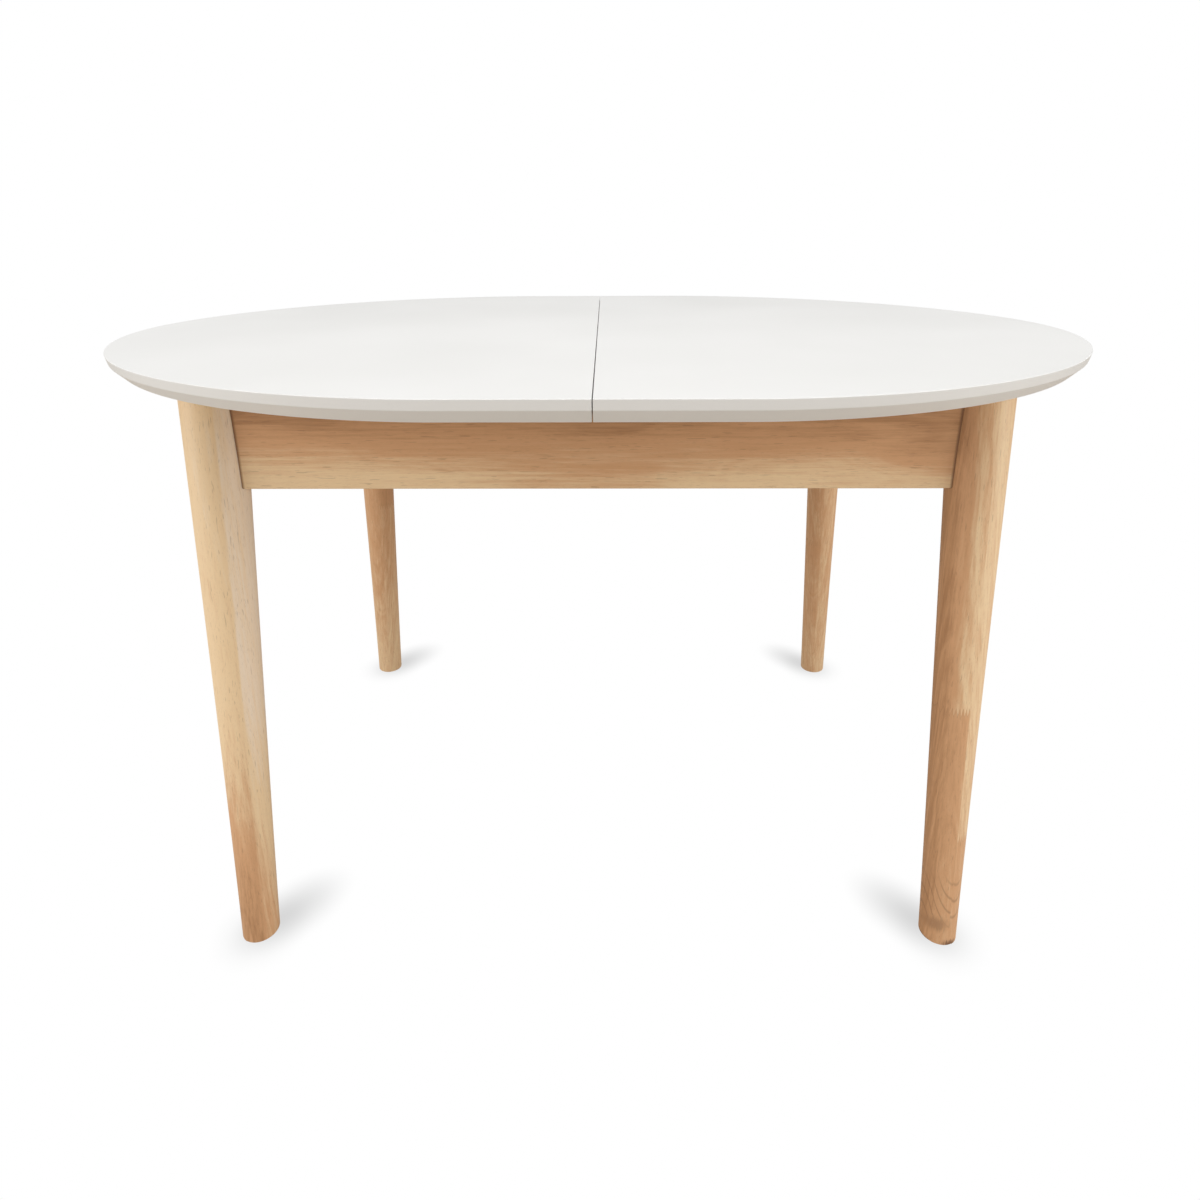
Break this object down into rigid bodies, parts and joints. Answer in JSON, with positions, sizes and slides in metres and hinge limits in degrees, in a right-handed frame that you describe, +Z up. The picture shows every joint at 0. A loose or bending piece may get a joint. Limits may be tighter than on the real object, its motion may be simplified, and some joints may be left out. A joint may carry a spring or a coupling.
{
  "type": "extension table",
  "caption": "Oval dining table on splayed round tapered legs. Two half-tops part at a centre seam and slide outwards over a fixed apron frame that stores a folded leaf.",
  "frame": {"origin": "on the floor under the middle of the table", "axes": "+X along the length of the top, the way the right half-top slides; +Y from the front to the back; +Z up"},
  "size_m": [1.164, 0.944, 0.75],
  "materials": {
    "white_lacquer": "satin off-white lacquer on fibreboard",
    "rubberwood": "satin clear lacquer on finger-jointed rubberwood",
    "beech": "planed and waxed",
    "zinc_plated_steel": "zinc plated",
    "felt": "pressed felt"
  },
  "bodies": {
    "frame": {"left_leaf_bearer": "beech", "left_end_apron": "rubberwood", "left_leaf_hinge_lower": "zinc_plated_steel", "left_leaf_hinge_upper": "zinc_plated_steel", "left_front_guide": "beech", "front_left_corner_block": "beech", "front_left_leg": "rubberwood", "front_left_glide": "felt", "front_left_hanger_bolt": "zinc_plated_steel", "front_left_flange_nut": "zinc_plated_steel", "left_back_guide": "beech", "back_left_corner_block": "beech", "back_left_leg": "rubberwood", "back_left_glide": "felt", "back_left_hanger_bolt": "zinc_plated_steel", "back_left_flange_nut": "zinc_plated_steel", "right_leaf_bearer": "beech", "right_end_apron": "rubberwood", "right_leaf_hinge_lower": "zinc_plated_steel", "right_leaf_hinge_upper": "zinc_plated_steel", "right_front_guide": "beech", "front_right_corner_block": "beech", "front_right_leg": "rubberwood", "front_right_glide": "felt", "front_right_hanger_bolt": "zinc_plated_steel", "front_right_flange_nut": "zinc_plated_steel", "right_back_guide": "beech", "back_right_corner_block": "beech", "back_right_leg": "rubberwood", "back_right_glide": "felt", "back_right_hanger_bolt": "zinc_plated_steel", "back_right_flange_nut": "zinc_plated_steel", "front_apron": "rubberwood", "back_apron": "rubberwood", "lower_leaf": "white_lacquer", "lower_leaf_dowel": "beech", "upper_leaf": "white_lacquer", "upper_leaf_dowel": "beech"},
    "left_top": {"left_half_top": "white_lacquer", "left_batten": "beech", "left_front_runner": "beech", "left_front_runner_stop": "beech", "left_back_runner": "beech", "left_back_runner_stop": "beech", "front_seam_dowel": "beech", "back_seam_dowel": "beech", "front_lock_base": "zinc_plated_steel", "back_lock_base": "zinc_plated_steel"},
    "right_top": {"right_half_top": "white_lacquer", "right_batten": "beech", "right_front_runner": "beech", "right_front_runner_stop": "beech", "right_back_runner": "beech", "right_back_runner_stop": "beech", "front_lock_keeper": "zinc_plated_steel", "back_lock_keeper": "zinc_plated_steel"},
    "front_lock_lever": {"front_lock_lever": "zinc_plated_steel"},
    "back_lock_lever": {"back_lock_lever": "zinc_plated_steel"}
  },
  "joints": [
    {"name": "left_top_slide", "type": "slide", "parent": "frame", "child": "left_top", "axis": [-1, 0, 0], "range_m": [0, 0.175]},
    {"name": "right_top_slide", "type": "slide", "parent": "frame", "child": "right_top", "axis": [1, 0, 0], "range_m": [0, 0.175]},
    {"name": "front_lock_swing", "type": "hinge", "parent": "left_top", "child": "front_lock_lever", "pos_m": [-0.024, -0.375, 0.7216], "axis": [0, 0, -1], "range_deg": [0, 90]},
    {"name": "back_lock_swing", "type": "hinge", "parent": "left_top", "child": "back_lock_lever", "pos_m": [-0.024, 0.375, 0.7216], "axis": [0, 0, 1], "range_deg": [0, 90]}
  ]
}
